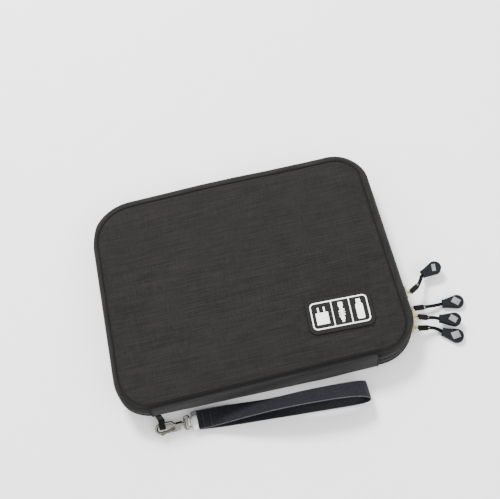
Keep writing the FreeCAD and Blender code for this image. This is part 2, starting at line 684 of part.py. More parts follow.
def wrist_strap():
    """Webbing loop: a lower band on the floor and an upper band that rises with its near edge high."""
    sections = [strap_section(i) for i in range(len(STRAP_LINE))]
    strap = Part.makeLoft(sections, True, True)
    x0 = STRAP_LINE[0][0]
    return strap.cut(block(x0 - 5, x0, HOOK_Y - 20, HOOK_Y + 20, -1, 30))


def save(node, shape):
    """Writes one node and says what it is."""
    if shape.ShapeType == "Compound" and len(shape.Solids) == 1:
        shape = shape.Solids[0]
    box = shape.BoundBox
    print(node, len(shape.Solids), "solids", "ok" if shape.isValid() else "INVALID", round(shape.Volume, 1),
          [round(v, 1) for v in (box.XMin, box.XMax, box.YMin, box.YMax, box.ZMin, box.ZMax)])
    shape.exportStep("parts/" + node + ".step")


os.makedirs("parts", exist_ok=True)

# Bottom cover
save("bottom_outer_fabric", seam_prism(0, 0, FABRIC))
save("bottom_foam_pad", seam_prism(0, FABRIC, FABRIC + FOAM))
save("bottom_lining", seam_prism(0, FABRIC + FOAM, PANEL))
save("bottom_gusset", cover_gusset(0, LOW_EDGE - ZIP_HALF))
save("lower_zip_bottom_half", zip_half(LOW_EDGE - ZIP_HALF))
save("bottom_slip_pocket", block(*SLIP_POCKET, PANEL + 0.8, PANEL + 1.4))
save("bottom_pocket_binding", pocket_binding(SLIP_POCKET, PANEL, PANEL + 1.8))

# Middle wall, divider and spine
core_low = ZIP_LOW + CHAIN_GAP / 2
core_high = ZIP_HIGH - CHAIN_GAP / 2
middle = HEIGHT / 2
save("spine_panel", spine_panel())
save("middle_gusset", wall_ring(0, WALL, core_low + ZIP_HALF, core_high - ZIP_HALF))
save("lower_zip_top_half", zip_half(core_low))
save("upper_zip_bottom_half", zip_half(core_high - ZIP_HALF))
save("divider_board", outline_prism(WALL, middle - BOARD / 2, middle + BOARD / 2))
save("divider_lining_top", outline_prism(LINING_INSET, middle + BOARD / 2, middle + BOARD / 2 + LINING))
save("divider_lining_bottom", outline_prism(LINING_INSET, middle - BOARD / 2 - LINING, middle - BOARD / 2))
loops = elastic_loops(middle + BOARD / 2 + LINING)
loops.translate(V(0, LOOPS_Y, 0))
save("elastic_cable_loops", loops)
save("strap_tab", strap_tab())

# Lid
lid_low = Z_TOP - PANEL
save("top_outer_fabric", seam_prism(0, Z_TOP - FABRIC, Z_TOP))
save("top_foam_pad", seam_prism(0, Z_TOP - FABRIC - FOAM, Z_TOP - FABRIC))
save("top_lining", seam_prism(0, lid_low, Z_TOP - FABRIC - FOAM))
save("top_gusset", cover_gusset(Z_TOP, HIGH_EDGE + ZIP_HALF))
save("upper_zip_top_half", zip_half(HIGH_EDGE))
save("top_piping", piping())
save("badge_base", badge_base())
save("badge_icons", badge_icons())
save("lid_mesh_pocket", block(*LID_POCKET, lid_low - 1.6, lid_low - 1.0))
save("lid_pocket_binding", pocket_binding(LID_POCKET, lid_low - 1.8, lid_low))

# Zipper pulls
for pull_name, pull in PULLS.items():
    for piece, solid in pull_parts(pull_name, pull).items():
        save(pull_name + "_" + piece, solid)

# Wrist strap and snap hook
save("hook_frame", hook_frame())
save("hook_gate", hook_gate())
save("swivel_ring", swivel_ring())
save("strap_clamp", strap_clamp())
save("wrist_strap", wrist_strap())
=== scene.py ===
import bpy
import math
from mathutils import Matrix, Vector, noise


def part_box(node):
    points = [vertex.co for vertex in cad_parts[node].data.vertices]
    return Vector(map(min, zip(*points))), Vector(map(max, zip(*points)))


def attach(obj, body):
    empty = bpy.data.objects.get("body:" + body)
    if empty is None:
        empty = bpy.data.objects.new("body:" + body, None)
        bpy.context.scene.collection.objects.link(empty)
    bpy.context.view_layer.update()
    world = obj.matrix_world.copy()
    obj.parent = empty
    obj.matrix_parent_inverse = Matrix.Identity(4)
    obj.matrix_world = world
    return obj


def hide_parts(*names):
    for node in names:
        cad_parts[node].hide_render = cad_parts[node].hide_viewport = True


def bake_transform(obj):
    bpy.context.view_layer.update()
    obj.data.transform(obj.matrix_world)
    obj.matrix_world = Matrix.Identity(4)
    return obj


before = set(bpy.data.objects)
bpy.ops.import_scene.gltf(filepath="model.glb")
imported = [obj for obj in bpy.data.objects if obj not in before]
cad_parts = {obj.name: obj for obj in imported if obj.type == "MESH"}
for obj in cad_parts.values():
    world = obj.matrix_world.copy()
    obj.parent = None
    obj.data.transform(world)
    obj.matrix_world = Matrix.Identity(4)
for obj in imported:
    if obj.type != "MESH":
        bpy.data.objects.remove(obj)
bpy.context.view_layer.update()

MM = 0.001

# Sizes read from the frame
gusset_low, gusset_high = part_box("bottom_gusset")
panel_low, panel_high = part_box("top_outer_fabric")
spine_low, spine_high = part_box("spine_panel")
middle_low, middle_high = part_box("middle_gusset")
X_SIDE = gusset_high[0]
Y_FRONT = gusset_low[1]
Y_BACK = gusset_high[1]
SEAM_X0 = panel_low[0]
SEAM_X1 = panel_high[0]
SEAM_Y0 = panel_low[1]
SEAM_Y1 = panel_high[1]
Z_TOP = panel_high[2]
Z_LOW_WALL = gusset_high[2]
Z_MID0 = middle_low[2]
Z_MID1 = middle_high[2]
Z_HIGH_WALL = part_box("top_gusset")[0][2]
ZIP_LOW = (Z_LOW_WALL + Z_MID0) / 2
ZIP_HIGH = (Z_MID1 + Z_HIGH_WALL) / 2

# Corner radii that the frame's boxes don't give: front right, back right, back left, front left
CORNERS = (32 * MM, 30 * MM, 38 * MM, 32 * MM)
SEAM_CORNERS = (22 * MM, 23 * MM, 32 * MM, 27 * MM)
QUARTER = math.radians(90)

# Shell: rounding from the flat panels to the walls, cloth and piping, and the binding tape's distance
# from the outer face
EDGE_ROUND = 7.5 * MM
SPINE_GAP = 0.3 * MM
SPINE_ROUND = 3.3 * MM
OUTLINE_STEP = 4 * MM
WALL_THICK = 1.6 * MM
SPINE_THICK = 1.8 * MM
PIPING_RADIUS = 0.5 * MM
TAPE_LEVEL = 3.9 * MM

# How far the soft shell sags: the front leans in below this height, more at the left, in millimetres
LEAN_HEIGHT = 17 * MM
LEAN_LEFT = 5.0
LEAN_RIGHT = 0.6
# The left side and the back right corner pull in this far
LEFT_PULL = 2.2 * MM
BACK_PULL = 3.2 * MM
SOFT_BODIES = ("bottom_cover", "core", "lid")

# The lid's cloth simulation, and the height that its swelling is scaled to
CLOTH_FRAMES = 16
LID_CROWN = 0.96 * MM

# Sections of a stitch: share of its length from the middle, and share of its radius
STITCH_SECTIONS = ((-0.5, 0.35), (-0.3, 1.0), (0.3, 1.0), (0.5, 0.35))

# Sections of a zip tooth from tip to root, in millimetres: distance from the zip's middle line, half
# width along the zip and half depth
TOOTH_SECTIONS = ((-0.28, 0.42, 0.45), (0.3, 0.5, 0.62), (1.0, 0.3, 0.4))
TOOTH_PITCH = 1.5 * MM
TOOTH_INSET = 0.95
TAPE_WIDTH = 1.7 * MM
# How far the sliders reach into the bag from its outline
SLIDER_DEPTH = 5.2 * MM

# ---------------------------------------------------------------- small tools


def lerp(a, b, t):
    """Value a share t of the way from a to b."""
    return a + (b - a) * t


def squared(value, power):
    """Sine or cosine bent towards 1 or -1, for flat sections with rounded edges."""
    return math.copysign(abs(value) ** power, value)


def new_mesh(name, verts, faces, smooth=True):
    """Mesh object from points and faces."""
    mesh = bpy.data.meshes.new(name)
    mesh.from_pydata([tuple(v) for v in verts], [], faces)
    mesh.validate()
    obj = bpy.data.objects.new(name, mesh)
    bpy.context.scene.collection.objects.link(obj)
    if smooth:
        for poly in mesh.polygons:
            poly.use_smooth = True
    return obj


def grid_mesh(name, rows, close_rows=False, close_cols=False):
    """Quad mesh through rows of points."""
    n = len(rows)
    m = len(rows[0])
    verts = [p for row in rows for p in row]
    faces = []
    for i in range(n if close_rows else n - 1):
        for j in range(m if close_cols else m - 1):
            a = i * m + j
            b = i * m + (j + 1) % m
            c = ((i + 1) % n) * m + (j + 1) % m
            d = ((i + 1) % n) * m + j
            faces.append((a, b, c, d))
    return new_mesh(name, verts, faces)


def cap_ends(obj, m):
    """Closes both ends of a tube made by grid_mesh with closed columns of m points."""
    mesh = obj.data
    n = len(mesh.vertices) // m
    verts = [v.co.copy() for v in mesh.vertices]
    faces = [tuple(p.vertices) for p in mesh.polygons]
    faces.append(tuple(reversed(range(m))))
    faces.append(tuple(range((n - 1) * m, n * m)))
    mesh.clear_geometry()
    mesh.from_pydata([tuple(v) for v in verts], [], faces)
    for poly in mesh.polygons:
        poly.use_smooth = True


def smooth_between(value, start, end):
    """Smooth step from 0 at start to 1 at end."""
    t = max(0.0, min(1.0, (value - start) / (end - start)))
    return t * t * (3 - 2 * t)


def settle(obj):
    """Lets the shell sag: the front leans in under the lid, the left side and back right corner pull in."""
    for v in obj.data.vertices:
        x, y, z = v.co
        depth = max(0.0, min(1.0, (LEAN_HEIGHT - z) / LEAN_HEIGHT))
        leftness = max(0.0, min(1.0, (40 * MM - x) / (135 * MM)))
        lean = lerp(LEAN_RIGHT, LEAN_LEFT, leftness) * MM
        lean *= smooth_between(x, 112 * MM, 90 * MM)
        v.co.y += lean * depth * smooth_between(y, -40 * MM, -75 * MM)
        v.co.x += LEFT_PULL * smooth_between(x, -109 * MM, -119 * MM)
        back = smooth_between(y, 50 * MM, 85 * MM)
        v.co.y -= BACK_PULL * back * smooth_between(x, -30 * MM, 90 * MM)


def finish_piece(obj, material, body, nodes=()):
    """Sag, material, body and replaced nodes of one piece."""
    if body in SOFT_BODIES:
        settle(obj)
    obj.data.materials.clear()
    obj.data.materials.append(material)
    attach(obj, body)
    if nodes:
        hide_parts(*nodes)


def add_modifier(obj, kind, **values):
    """Adds a modifier and bakes it into the mesh."""
    mod = obj.modifiers.new(kind.lower(), kind)
    for key, value in values.items():
        setattr(mod, key, value)
    deps = bpy.context.evaluated_depsgraph_get()
    baked = bpy.data.meshes.new_from_object(obj.evaluated_get(deps))
    obj.modifiers.clear()
    old = obj.data
    obj.data = baked
    bpy.data.meshes.remove(old)
    for poly in obj.data.polygons:
        poly.use_smooth = True


def tube(name, path, radius, sides=8, closed=False):
    """Round tube along a list of points."""
    count = len(path)
    rows = []
    for i, p in enumerate(path):
        a = path[i - 1] if (i > 0 or closed) else p
        b = path[(i + 1) % count] if (i < count - 1 or closed) else p
        ahead = (b - a).normalized()
        side = ahead.cross(Vector((0, 0, 1)))
        if side.length < 1e-3:
            side = Vector((1, 0, 0))
        side.normalize()
        up = side.cross(ahead).normalized()
        rows.append([p + side * (radius * math.cos(t)) + up * (radius * math.sin(t))
                     for t in (2 * math.pi * k / sides for k in range(sides))])
    obj = grid_mesh(name, rows, close_rows=closed, close_cols=True)
    if not closed:
        cap_ends(obj, sides)
    return obj


# ---------------------------------------------------------------- outlines


def arc_points(cx, cy, r, a0, a1, steps):
    """Points and outward normals on an arc, angles in degrees."""
    found = []
    for i in range(steps + 1):
        t = math.radians(lerp(a0, a1, i / steps))
        n = Vector((math.cos(t), math.sin(t), 0))
        found.append((Vector((cx, cy, 0)) + n * r, n))
    return found


def line_points(x0, y0, x1, y1, nx, ny):
    """Points and the outward normal along a straight stretch, ends left out."""
    a = Vector((x0, y0, 0))
    b = Vector((x1, y1, 0))
    count = max(1, round((b - a).length / OUTLINE_STEP))
    return [(a.lerp(b, i / count), Vector((nx, ny, 0))) for i in range(1, count)]


def corner_centres(x0, x1, y0, y1, radii):
    """Centre and radius of each corner arc: front right, back right, back left, front left."""
    a, b, c, d = radii
    return [(x1 - a, y0 + a, a), (x1 - b, y1 - b, b), (x0 + c, y1 - c, c), (x0 + d, y0 + d, d)]


def outline_corners():
    """Corner arcs of the bag's outline."""
    return corner_centres(-X_SIDE, X_SIDE, Y_FRONT, Y_BACK, CORNERS)


def seam_corners(inset=0.0):
    """Corner arcs of the seam round the flat panels, moved inwards by inset."""
    radii = [r - inset for r in SEAM_CORNERS]
    return corner_centres(SEAM_X0 + inset, SEAM_X1 - inset, SEAM_Y0 + inset, SEAM_Y1 - inset, radii)


def wall_path():
    """Outline of the bag from the spine's right end round the back to its left end."""
    x0 = spine_high[0] + SPINE_GAP
    x1 = spine_low[0] - SPINE_GAP
    fr, br, bl, fl = outline_corners()
    last = math.degrees(math.acos((x1 - fl[0]) / fl[2]))
    path = [(Vector((x0, Y_FRONT, 0)), Vector((0, -1, 0)))]
    path += arc_points(*fr, -90, 0, 14)
    path += line_points(X_SIDE, fr[1], X_SIDE, br[1], 1, 0)
    path += arc_points(*br, 0, 90, 15)
    path += line_points(br[0], Y_BACK, bl[0], Y_BACK, 0, 1)
    path += arc_points(*bl, 90, 180, 16)
    path += line_points(-X_SIDE, bl[1], -X_SIDE, fl[1], -1, 0)
    path += arc_points(*fl, 180, 360 - last, 13)
    return path


def corner_at(x, y):
    """Centre and radius of the seam's corner arc that a plan point lies in, if any."""
    fr, br, bl, fl = seam_corners()
    for cx, cy, r, sx, sy in ((*fr, 1, -1), (*br, 1, 1), (*bl, -1, 1), (*fl, -1, -1)):
        if (x - cx) * sx > 0 and (y - cy) * sy > 0:
            return cx, cy, r
    return None


def seam_point(p):
    """Nearest point on the seam outline of the flat panels."""
    found = corner_at(p.x, p.y)
    if found:
        cx, cy, r = found
        core = Vector((cx, cy, 0))
        return core + (Vector((p.x, p.y, 0)) - core).normalized() * r
    return Vector((max(SEAM_X0, min(SEAM_X1, p.x)), max(SEAM_Y0, min(SEAM_Y1, p.y)), 0))


def seam_path(inset=0.0):
    """Closed seam outline moved inwards by inset."""
    fr, br, bl, fl = seam_corners(inset)
    x0 = SEAM_X0 + inset
    x1 = SEAM_X1 - inset
    y0 = SEAM_Y0 + inset
    y1 = SEAM_Y1 - inset
    path = arc_points(*fr, -90, 0, 14)
    path += line_points(x1, fr[1], x1, br[1], 1, 0)
    path += arc_points(*br, 0, 90, 14)
    path += line_points(br[0], y1, bl[0], y1, 0, 1)
    path += arc_points(*bl, 90, 180, 14)
    path += line_points(x0, bl[1], x0, fl[1], -1, 0)
    path += arc_points(*fl, 180, 270, 14)
    path += line_points(fl[0], y0, fr[0], y0, 0, -1)
    return path


def panel_edge(y, corners, side):
    """Left or right end of the flat panel at y."""
    front, back = corners
    cx, cy, r = front if y < 0 else back
    beyond = min(r, max(0.0, (cy - y) if y < 0 else (y - cy)))
    return cx + side * math.sqrt(max(0.0, r * r - beyond * beyond))


def panel_rows(columns):
    """Grid of plan points over the flat panel, its rows closer together in the rounded corners."""
    fr, br, bl, fl = seam_corners()
    rf = max(fr[2], fl[2])
    rb = max(br[2], bl[2])
    steps = 12
    ys = [SEAM_Y0 + rf * (1 - math.cos(QUARTER * i / steps)) for i in range(steps + 1)]
    middle = round((SEAM_Y1 - rb - SEAM_Y0 - rf) / (3 * MM))
    ys += [lerp(SEAM_Y0 + rf, SEAM_Y1 - rb, i / middle) for i in range(1, middle)]
    ys += [SEAM_Y1 - rb * (1 - math.sin(QUARTER * i / steps)) for i in range(steps + 1)]
    rows = []
    for y in ys:
        left = panel_edge(y, (fl, bl), -1)
        right = panel_edge(y, (fr, br), 1)
        rows.append([Vector((lerp(left, right, j / columns), y, 0)) for j in range(columns + 1)])
    return rows


def edge_share(x, y):
    """Distance of a plan point from the seam, inwards."""
    found = corner_at(x, y)
    if found:
        cx, cy, r = found
        return max(0.0, r - math.hypot(x - cx, y - cy))
    return max(0.0, min(x - SEAM_X0, SEAM_X1 - x, y - SEAM_Y0, SEAM_Y1 - y))


# ---------------------------------------------------------------- materials


class Nodes:
    """Short helper around one material's node tree."""

    def __init__(self, name):
        self.material = bpy.data.materials.new(name)
        self.material.use_nodes = True
        self.tree = self.material.node_tree
        self.shader = self.tree.nodes["Principled BSDF"]
        self.coord = self.tree.nodes.new("ShaderNodeTexCoord")

    def add(self, kind, **values):
        node = self.tree.nodes.new(kind)
        for key, value in values.items():
            if key in node.inputs:
                node.inputs[key].default_value = value
            else:
                setattr(node, key, value)
        return node

    def link(self, out, into):
        self.tree.links.new(out, into)

    def noise(self, scale, detail):
        """Noise in the object's metres, with one scale or one for each axis."""
        mapping = self.add("ShaderNodeMapping")
        mapping.inputs["Scale"].default_value = scale if isinstance(scale, tuple) else (scale,) * 3
        self.link(self.coord.outputs["Object"], mapping.inputs["Vector"])
        node = self.add("ShaderNodeTexNoise", Scale=1.0, Detail=detail, Roughness=0.6)
        self.link(mapping.outputs["Vector"], node.inputs["Vector"])
        return node.outputs["Fac"]

    def wave(self, direction, scale, distortion=0.6):
        node = self.add("ShaderNodeTexWave", Scale=scale, Distortion=distortion, Detail=1.0)
        node.bands_direction = direction
        self.link(self.coord.outputs["Object"], node.inputs["Vector"])
        return node.outputs["Fac"]

    def mix(self, kind, a, b):
        """Arithmetic on two values or outputs."""
        node = self.add("ShaderNodeMath", operation=kind)
        for i, value in enumerate((a, b)):
            if isinstance(value, (int, float)):
                node.inputs[i].default_value = value
            else:
                self.link(value, node.inputs[i])
        return node.outputs[0]

    def total(self, *parts):
        """Weighted sum of outputs, given as (output, weight)."""
        found = None
        for out, weight in parts:
            part = self.mix("MULTIPLY", out, weight)
            found = part if found is None else self.mix("ADD", found, part)
        return found

    def ramp(self, factor, stops):
        node = self.add("ShaderNodeValToRGB")
        while len(node.color_ramp.elements) < len(stops):
            node.color_ramp.elements.new(0.5)
        for element, (place, colour) in zip(node.color_ramp.elements, stops):
            element.position = place
            element.color = (*colour, 1)
        self.link(factor, node.inputs["Fac"])
        return node.outputs["Color"]

    def bump(self, height, strength, distance):
        node = self.add("ShaderNodeBump", Strength=strength, Distance=distance)
        self.link(height, node.inputs["Height"])
        self.link(node.outputs["Normal"], self.shader.inputs["Normal"])

    def set(self, **values):
        """Constants set on the shader's own sockets."""
        names = {"roughness": "Roughness", "metallic": "Metallic", "sheen": "Sheen Weight",
                 "sheen_roughness": "Sheen Roughness", "specular": "Specular IOR Level"}
        for key, value in values.items():
            self.shader.inputs[names[key]].default_value = value

    def colour(self, out):
        self.link(out, self.shader.inputs["Base Color"])


def shade(colour, k):
    """The colour made k times as bright."""
    return tuple(min(1.0, c * k) for c in colour)


def heather(name, colour, streak, contrast=0.3, sheen=0.02, relief=0.2):
    """Two-tone yarn fabric: fine streaks along the yarn, a weave and soft blotches."""
    n = Nodes(name)
    streaks = n.noise(streak, 3.0)
    cross = n.noise((streak[1], streak[0] * 3, streak[2]), 2.0)
    blotch = n.noise(40, 2.0)
    speck = n.noise(1500, 1.0)
    mixed = n.total((streaks, 0.45), (blotch, 0.1), (speck, 0.25), (cross, 0.2))
    dark = shade(colour, 1 - contrast)
    light = shade(colour, 1 + contrast * 1.3)
    warm = (light[0] * 1.04, light[1] * 0.98, light[2] * 0.93)
    n.colour(n.ramp(mixed, [(0.36, dark), (0.48, colour), (0.56, warm), (0.66, light)]))
    weave = n.mix("MULTIPLY", n.wave("X", 420), n.wave("Y", 420))
    n.bump(n.total((weave, 0.5), (streaks, 0.4)), relief, 0.0003)
    n.set(roughness=0.9, sheen=sheen, sheen_roughness=0.5, specular=0.08)
    return n.material


def plain_weave(name, colour, pitch=0.9 * MM, contrast=0.25, sheen=0.03, relief=0.5):
    """Tight woven tape or lining."""
    n = Nodes(name)
    scale = 1 / pitch / 3
    weave = n.mix("ADD", n.wave("Y", scale, 0.2), n.wave("Z", scale, 0.2))
    weave = n.mix("ADD", n.wave("X", scale, 0.2), weave)
    speck = n.noise(900, 2.0)
    mixed = n.total((weave, 0.22), (speck, 0.35))
    n.colour(n.ramp(mixed, [(0.25, shade(colour, 1 - contrast)), (0.75, shade(colour, 1 + contrast))]))
    n.bump(weave, relief, 0.0003)
    n.set(roughness=0.85, sheen=sheen, sheen_roughness=0.5, specular=0.1)
    return n.material


def webbing(name, colour):
    """Flat strap webbing: fine cross ribs and long yarn streaks."""
    n = Nodes(name)
    ribs = n.wave("X", 330, 0.3)
    yarn = n.noise((120, 1600, 1600), 3.0)
    fleck = n.noise(700, 2.0)
    mixed = n.total((ribs, 0.2), (yarn, 0.4), (fleck, 0.4))
    n.colour(n.ramp(mixed, [(0.38, shade(colour, 0.6)), (0.52, colour), (0.66, shade(colour, 1.7))]))
    n.bump(n.mix("ADD", ribs, yarn), 0.45, 0.0003)
    n.set(roughness=0.8, sheen=0.04, sheen_roughness=0.4, specular=0.1)
    return n.material


def mesh_net(name, colour):
    """Knitted net of dark yarn on a closed sheet: the holes are painted darker than the yarn, painted shade
    seen through the openings.
    """
    n = Nodes(name)
    cells = n.add("ShaderNodeTexVoronoi", Scale=520.0, feature="DISTANCE_TO_EDGE")
    n.link(n.coord.outputs["Object"], cells.inputs["Vector"])
    # Cell middles are the holes, painted darker as painted shade; the yarn along the cell edges is lighter.
    n.colour(n.ramp(cells.outputs["Distance"], [(0.05, shade(colour, 2.2)), (0.22, shade(colour, 0.5))]))
    n.bump(n.mix("MULTIPLY", cells.outputs["Distance"], -1.0), 0.8, 0.0004)
    n.set(roughness=0.7, sheen=0.1, specular=0.35)
    return n.material


def rubber(name, colour, roughness=0.5, grain=0.25, specular=0.2):
    """Moulded rubber with a fine mould grain and rubbed patches."""
    n = Nodes(name)
    fine = n.noise(2600, 2.0)
    worn = n.noise(140, 3.0)
    n.colour(n.ramp(worn, [(0.35, shade(colour, 0.85)), (0.7, shade(colour, 1.3))]))
    rough = n.ramp(worn, [(0.3, (roughness - 0.08,) * 3), (0.7, (roughness + 0.1,) * 3)])
    n.link(rough, n.shader.inputs["Roughness"])
    n.bump(fine, grain, 0.0002)
    n.set(specular=specular)
    return n.material


def metal(name, colour, roughness=0.14):
    """Plated zinc casting: mirror plating with faint casting waves and handling marks."""
    n = Nodes(name)
    waves = n.noise(300, 2.0)
    marks = n.noise((2200, 400, 2200), 3.0)
    n.colour(n.ramp(waves, [(0.3, shade(colour, 0.88)), (0.7, colour)]))
    rough = n.ramp(marks, [(0.35, (roughness * 0.7,) * 3), (0.75, (roughness * 2.2,) * 3)])
    n.link(rough, n.shader.inputs["Roughness"])
    n.bump(waves, 0.12, 0.0003)
    n.set(metallic=1.0)
    return n.material


def thread(name, colour):
    """Sewing thread with its twist."""
    n = Nodes(name)
    twist = n.wave("DIAGONAL", 900, 0.2)
    n.colour(n.ramp(twist, [(0.2, shade(colour, 0.6)), (0.8, shade(colour, 1.3))]))
    n.bump(twist, 0.4, 0.0002)
    n.set(roughness=0.6, sheen=0.2)
    return n.material


def braid(name, colour):
    """Braided cord sheath."""
    n = Nodes(name)
    cells = n.add("ShaderNodeTexVoronoi", Scale=1500.0)
    n.link(n.coord.outputs["Object"], cells.inputs["Vector"])
    n.colour(n.ramp(cells.outputs["Distance"], [(0.1, shade(colour, 1.6)), (0.6, shade(colour, 0.6))]))
    n.bump(cells.outputs["Distance"], 0.6, 0.0002)
    n.set(roughness=0.75, specular=0.12)
    return n.material


def floor_material():
    """Pale seamless studio sheet with a trace of paper grain."""
    n = Nodes("studio_floor")
    grain = n.noise(40, 2.0)
    n.colour(n.ramp(grain, [(0.3, (0.92, 0.92, 0.92)), (0.7, (0.94, 0.94, 0.94))]))
    n.set(roughness=0.9, specular=0.1)
    return n.material


SHELL = heather("shell_heather", (0.0114, 0.011, 0.0105), (35, 1400, 1400), contrast=0.34)
GUSSET = heather("gusset_heather", (0.0108, 0.011, 0.0104), (60, 60, 1500), contrast=0.28)
# The spine takes the shell's heather painted about 1.7 times lighter: painted light on the front-facing
# band.
SPINE = heather("spine_heather_painted_light", (0.0195, 0.0195, 0.0198), (40, 1300, 1300), contrast=0.28)
# Near-black seam colour: painted shade, drawing the shadowed groove along each seam as a dark line; the
# fold strips take it too.
SEAM_SHADE = plain_weave("seam_roll_painted_shade", (0.006, 0.006, 0.0065), 0.8 * MM)
LINING = plain_weave("lining_cloth", (0.03, 0.031, 0.034), 0.7 * MM, sheen=0.2)
BINDING = plain_weave("binding_tape", (0.014, 0.014, 0.015), 1.0 * MM)
ELASTIC = webbing("elastic_rib", (0.014, 0.014, 0.015))
TAPE = plain_weave("zip_tape_weave", (0.012, 0.012, 0.013), 0.8 * MM)
TEETH = rubber("zip_teeth_nylon", (0.02, 0.02, 0.022), 0.35, 0.1)
NET = mesh_net("pocket_net", (0.02, 0.02, 0.021))
BOARD = rubber("divider_board_plastic", (0.05, 0.05, 0.05), 0.6, 0.2)
BADGE = rubber("badge_rubber", (0.0085, 0.0084, 0.0078), 0.75, 0.3, 0.12)
PRINT = rubber("badge_white", (0.97, 0.98, 0.93), 0.55, 0.15)
CHROME = metal("slider_plating", (0.46, 0.41, 0.28), 0.2)
HOOK = metal("hook_plating", (0.27, 0.26, 0.235), 0.13)
GATE = metal("gate_plating", (0.1, 0.095, 0.08), 0.16)
CLAMP = metal("clamp_plate_steel", (0.66, 0.66, 0.65), 0.2)
SLEEVE = rubber("hitch_sleeve_rubber", (0.003, 0.003, 0.003), 0.5, 0.3, 0.1)
GRIP = rubber("grip_moulding", (0.0052, 0.0062, 0.008), 0.55, 0.3, 0.09)
LABEL = rubber("grip_label_rubber", (0.17, 0.182, 0.178), 0.5, 0.3)
CORD = braid("pull_cord_braid", (0.0035, 0.0036, 0.004))
WEBBING = webbing("wrist_webbing", (0.0098, 0.0101, 0.013))
SELVEDGE = webbing("wrist_selvedge", (0.055, 0.055, 0.06))
RIBBON = plain_weave("tab_ribbon_weave", (0.008, 0.008, 0.009), 0.8 * MM)
THREAD = thread("black_thread", (0.004, 0.004, 0.0045))


# ---------------------------------------------------------------- shells


def wall_shell(name, profile, thickness, pucker):
    """Side wall: profile gives (share from seam to outline, inset, height) down the wall."""
    if profile[0][2] < profile[-1][2]:
        profile = profile[::-1]
    rows = []
    travelled = 0.0
    last = None
    for p, n in wall_path():
        if last is not None:
            travelled += (p - last).length
        last = p
        s = seam_point(p)
        row = []
        for share, inset, z in profile:
            q = s.lerp(p, share) - n * inset
            q.z = z
            wobble = noise.noise(Vector((travelled / (22 * MM), z / (9 * MM), 3.1)))
            fine = noise.noise(Vector((travelled / (5 * MM), z / (4 * MM), 7.7)))
            swell = math.sin(math.pi * min(1.0, max(0.0, share))) if share < 1 else 0.35
            q += n * (pucker * (wobble + 0.35 * fine) * swell)
            q.z += pucker * 0.6 * wobble * (1 - share) * share * 4
            row.append(q)
        rows.append(row)
    obj = grid_mesh(name, rows)
    add_modifier(obj, "SOLIDIFY", thickness=thickness, offset=-1.0)
    return obj


def cover_profile(z_flat, z_edge):
    """Rounded cover edge from the seam at z_flat to the wall's free edge at z_edge."""
    sign = 1 if z_edge > z_flat else -1
    steps = 9
    profile = []
    for i in range(steps + 1):
        t = QUARTER * i / steps
        profile.append((math.sin(t), 0.0, z_flat + sign * EDGE_ROUND * (1 - math.cos(t))))
    profile.append((1.0, 0.05 * MM, z_edge))
    return profile


def build_walls():
    """Side walls of the lid, the base and the middle layer."""
    top = wall_shell("lid_side_wall", cover_profile(Z_TOP, Z_HIGH_WALL), WALL_THICK, 0.28 * MM)
    finish_piece(top, GUSSET, "lid", ["top_gusset"])
    low = wall_shell("bottom_side_wall", cover_profile(0.0, Z_LOW_WALL), WALL_THICK, 0.25 * MM)
    finish_piece(low, GUSSET, "bottom_cover", ["bottom_gusset"])
    steps = 6
    profile = []
    for i in range(steps + 1):
        t = i / steps
        bulge = math.sin(math.pi * t)
        profile.append((1.0, 0.15 * MM - 0.35 * MM * bulge, lerp(Z_MID1, Z_MID0, t)))
    mid = wall_shell("middle_side_wall", profile, WALL_THICK, 0.12 * MM)
    finish_piece(mid, GUSSET, "core", ["middle_gusset"])


def build_lid_panel():
    """Padded lid: a pinned cloth blown up slightly, with long soft folds and a seam dip."""
    rows = panel_rows(76)
    for row in rows:
        for p in row:
            p.z = Z_TOP
    columns = len(rows[0])
    obj = grid_mesh("lid_padded_panel", rows)
    rest = [v.co.copy() for v in obj.data.vertices]
    pins = obj.vertex_groups.new(name="seam")
    last = len(rows) - 1
    for i in range(len(rows)):
        for j in range(columns):
            if i in (0, last) or j in (0, columns - 1):
                pins.add([i * columns + j], 1.0, "REPLACE")
    cloth = obj.modifiers.new("cloth", "CLOTH")
    cloth.settings.quality = 5
    cloth.settings.mass = 0.25
    cloth.settings.vertex_group_mass = "seam"
    cloth.settings.tension_stiffness = 60
    cloth.settings.compression_stiffness = 60
    cloth.settings.shear_stiffness = 20
    cloth.settings.bending_stiffness = 3
    cloth.settings.use_pressure = True
    cloth.settings.uniform_pressure_force = 2.5
    cloth.settings.effector_weights.gravity = 0
    cloth.point_cache.frame_start = 1
    cloth.point_cache.frame_end = CLOTH_FRAMES
    scene = bpy.context.scene
    for f in range(1, CLOTH_FRAMES + 1):
        scene.frame_set(f)
    deps = bpy.context.evaluated_depsgraph_get()
    blown = obj.evaluated_get(deps).to_mesh()
    moved = [abs(v.co.z - r.z) for v, r in zip(blown.vertices, rest)]
    most = max(max(moved), 1e-6)
    final = []
    for m, r in zip(moved, rest):
        gap = edge_share(r.x, r.y)
        crown = LID_CROWN * min(1.0, m / most) ** 0.8
        lip = 1 - math.exp(-gap / (3.2 * MM))
        fold = noise.noise(Vector((r.x / (70 * MM), r.y / (34 * MM), 1.3)))
        ripple = noise.noise(Vector((r.x / (16 * MM), r.y / (9 * MM), 5.1)))
        z = Z_TOP - 0.5 * MM + lip * (0.9 * MM + crown)
        z += lip * (0.45 * MM * fold + 0.12 * MM * ripple)
        final.append(Vector((r.x, r.y, z)))
    obj.modifiers.clear()
    scene.frame_set(1)
    for v, p in zip(obj.data.vertices, final):
        v.co = p
    flatten_under_badge(obj)
    add_modifier(obj, "SOLIDIFY", thickness=1.4 * MM, offset=-1.0)
    finish_piece(obj, SHELL, "lid", ["top_outer_fabric", "top_foam_pad"])


